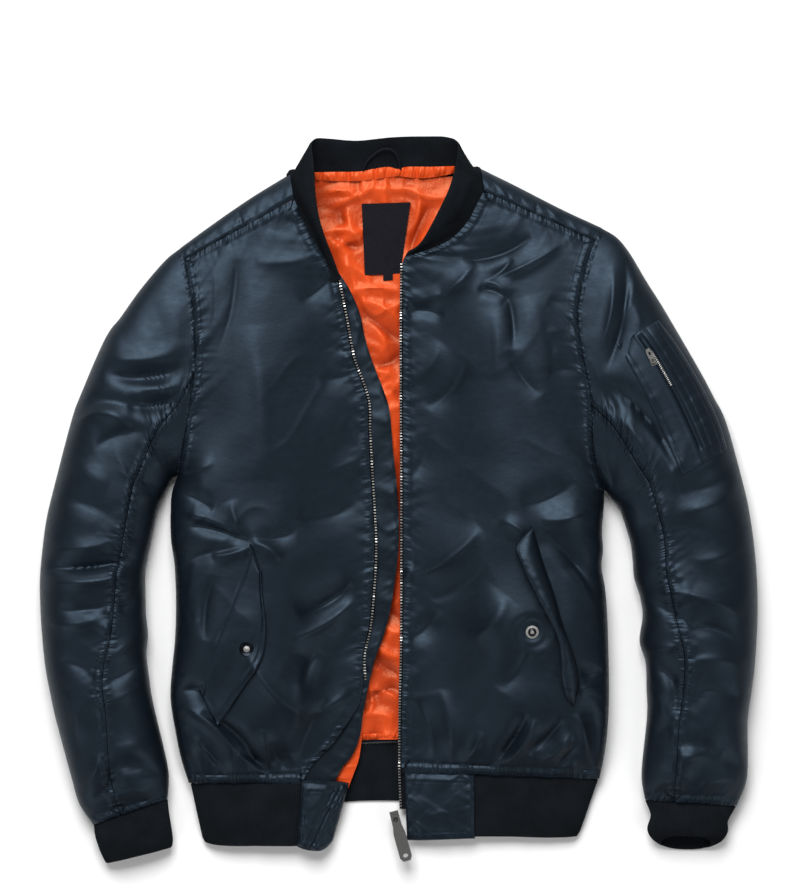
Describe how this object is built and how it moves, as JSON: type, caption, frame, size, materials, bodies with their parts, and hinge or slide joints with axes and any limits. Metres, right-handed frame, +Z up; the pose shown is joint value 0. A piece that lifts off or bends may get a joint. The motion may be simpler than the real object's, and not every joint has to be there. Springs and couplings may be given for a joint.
{
  "type": "bomber jacket",
  "caption": "Padded zip-front bomber jacket laid flat and open: rib collar, cuffs and hem, slanted snap pockets, zipped sleeve pocket, bright lining.",
  "frame": {"origin": "centre of the underside of the laid-out garment, on the surface that it rests on", "axes": "+Y towards the collar, +Z up, away from the surface, with the front uppermost; +X towards the wearer's left sleeve"},
  "size_m": [0.7204, 0.7306, 0.0685],
  "materials": {
    "nylon_shell": "satin nylon",
    "rib_knit": "matte rib knit",
    "lining": "smooth quilted satin",
    "zip_tape": "woven tape with fine metal teeth",
    "label": "plain woven label",
    "metal": "aged nickel"
  },
  "bodies": {
    "jacket": {"front_right": "nylon_shell", "front_left": "nylon_shell", "back": "nylon_shell", "shoulder_yoke_right": "nylon_shell", "shoulder_yoke_left": "nylon_shell", "sleeve_top_right": "nylon_shell", "sleeve_under_right": "nylon_shell", "sleeve_top_left": "nylon_shell", "sleeve_under_left": "nylon_shell", "cuff_right": "rib_knit", "cuff_left": "rib_knit", "collar": "rib_knit", "hem_rib": "rib_knit", "hem_end_right": "nylon_shell", "hem_end_left": "nylon_shell", "zip_tape_right": "zip_tape", "zip_tape_left": "zip_tape", "zip_slider": "metal", "wind_flap": "nylon_shell", "pocket_flap_right": "nylon_shell", "pocket_flap_left": "nylon_shell", "snap_cap": "metal", "snap_stud": "metal", "arm_pocket": "nylon_shell", "arm_zip_slider": "metal", "back_lining": "lining", "label": "label", "hanger_loop": "zip_tape"},
    "main_pull": {"zip_pull": "metal"},
    "arm_pull": {"arm_zip_pull": "metal"}
  },
  "joints": [
    {"name": "zip_pull_swing", "type": "hinge", "parent": "jacket", "child": "main_pull", "pos_m": [-0.00315, -0.3203, 0.0194], "axis": [-0.9636, -0.2672, 0], "range_deg": [0, 48]},
    {"name": "arm_zip_pull_swing", "type": "hinge", "parent": "jacket", "child": "arm_pull", "pos_m": [0.25285, 0.1392, 0.04947], "axis": [0.9063, 0.4226, 0], "range_deg": [0, 38]}
  ]
}
